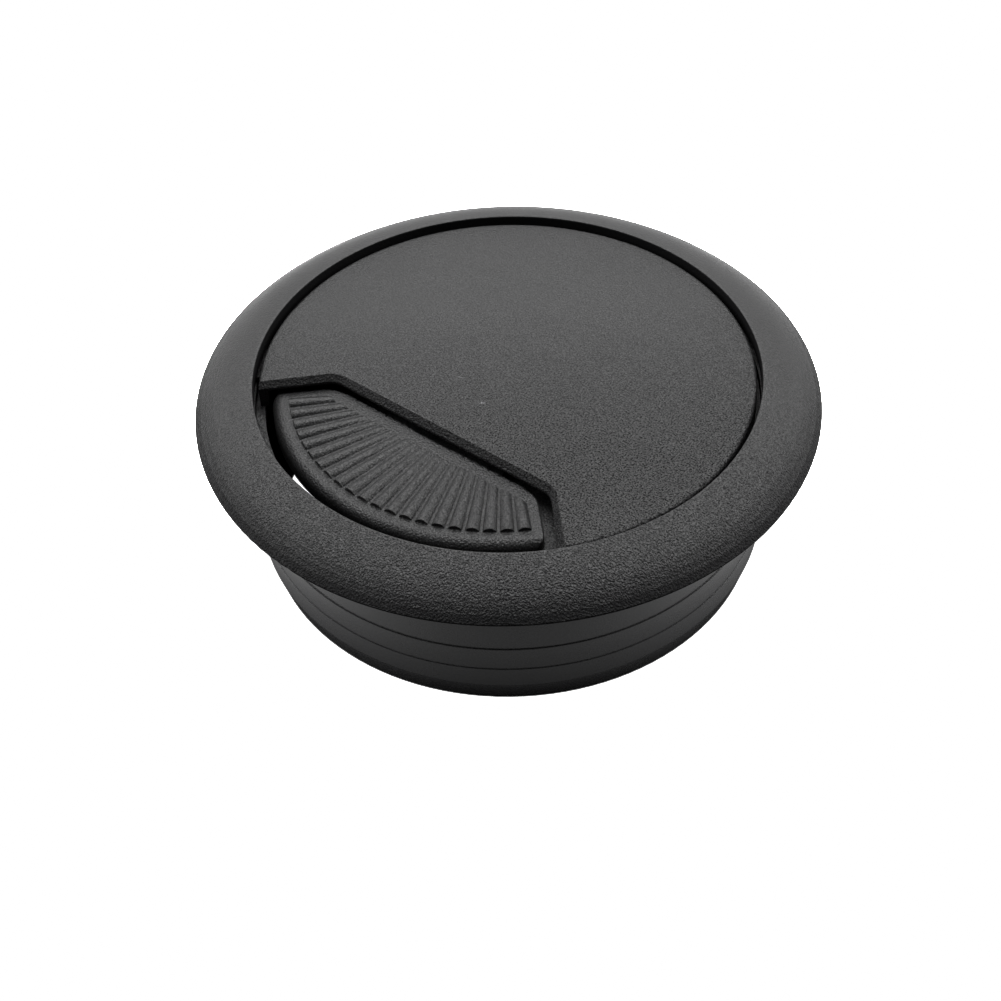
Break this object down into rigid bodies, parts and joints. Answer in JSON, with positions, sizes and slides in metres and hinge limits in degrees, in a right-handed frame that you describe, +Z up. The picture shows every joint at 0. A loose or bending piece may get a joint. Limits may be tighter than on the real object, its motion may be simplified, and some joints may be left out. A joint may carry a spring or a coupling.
{
  "type": "desk grommet",
  "caption": "Round plastic desk cable grommet: domed flange on a barbed barrel, snap-in cover with an outlet cut-out and a ribbed swinging shutter under it.",
  "frame": {"origin": "centre of the barrel's open bottom end", "axes": "+Z up along the barrel's axis, from the barrel's end to the cover; -Y towards the cable outlet"},
  "size_m": [0.06, 0.06, 0.0194],
  "materials": {
    "liner_plastic": "fine moulded grain, satin barrel",
    "cover_plastic": "fine moulded grain",
    "shutter_plastic": "smooth matte, ribbed"
  },
  "bodies": {
    "liner": {"liner": "liner_plastic"},
    "cover": {"cover": "cover_plastic"},
    "shutter": {"shutter": "shutter_plastic"}
  },
  "joints": [
    {"name": "cover_turn", "type": "hinge", "parent": "liner", "child": "cover", "pos_m": [0, 0, 0.017], "axis": [0, 0, 1], "continuous": true},
    {"name": "shutter_swing", "type": "hinge", "parent": "cover", "child": "shutter", "pos_m": [0, 0, 0.016], "axis": [0, 0, 1], "continuous": true}
  ]
}
